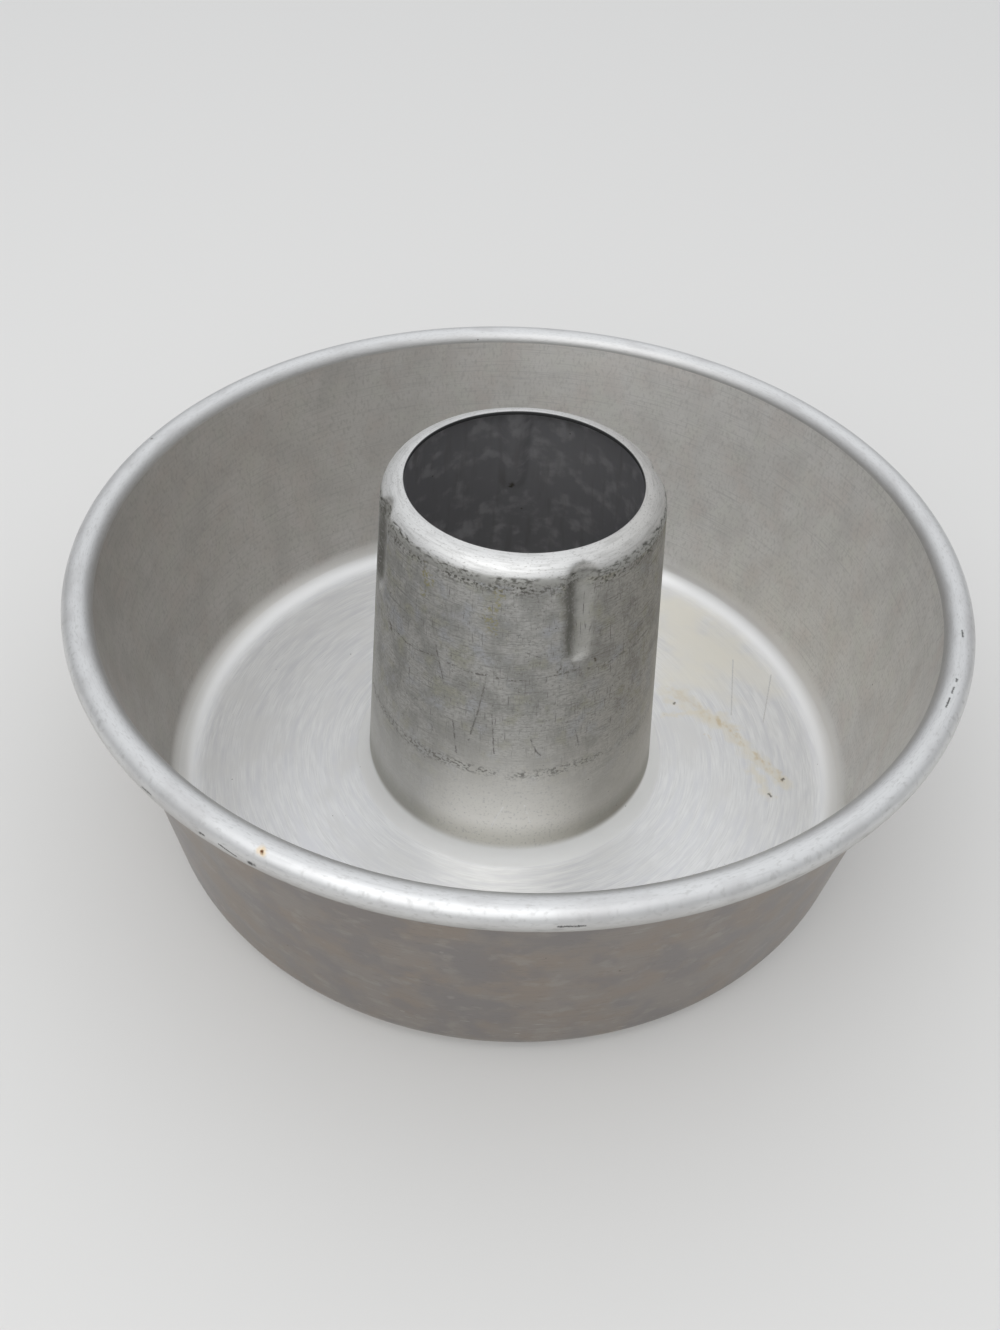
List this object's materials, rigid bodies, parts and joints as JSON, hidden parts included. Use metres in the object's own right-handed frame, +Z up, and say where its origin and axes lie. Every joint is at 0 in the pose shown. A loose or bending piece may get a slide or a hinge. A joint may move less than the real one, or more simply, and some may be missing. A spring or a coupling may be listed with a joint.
{
  "type": "angel food cake pan",
  "caption": "Round tube cake pan drawn from one aluminium sheet, with a tapered open centre tube, flutes pressed below its lip, and a rim rolled round a steel wire.",
  "frame": {"origin": "centre of the floor's underside, on the table plane and on the tube's axis", "axes": "+Z up along the tube's axis; -Y faces the viewer of the picture"},
  "size_m": [0.254, 0.254, 0.111],
  "materials": {
    "pan_aluminium": "worn satin, drawn and buffed sheet",
    "wire_steel": "dull zinc-coated wire"
  },
  "bodies": {
    "root": {"pan_shell": "pan_aluminium", "rim_wire": "wire_steel"}
  },
  "joints": []
}
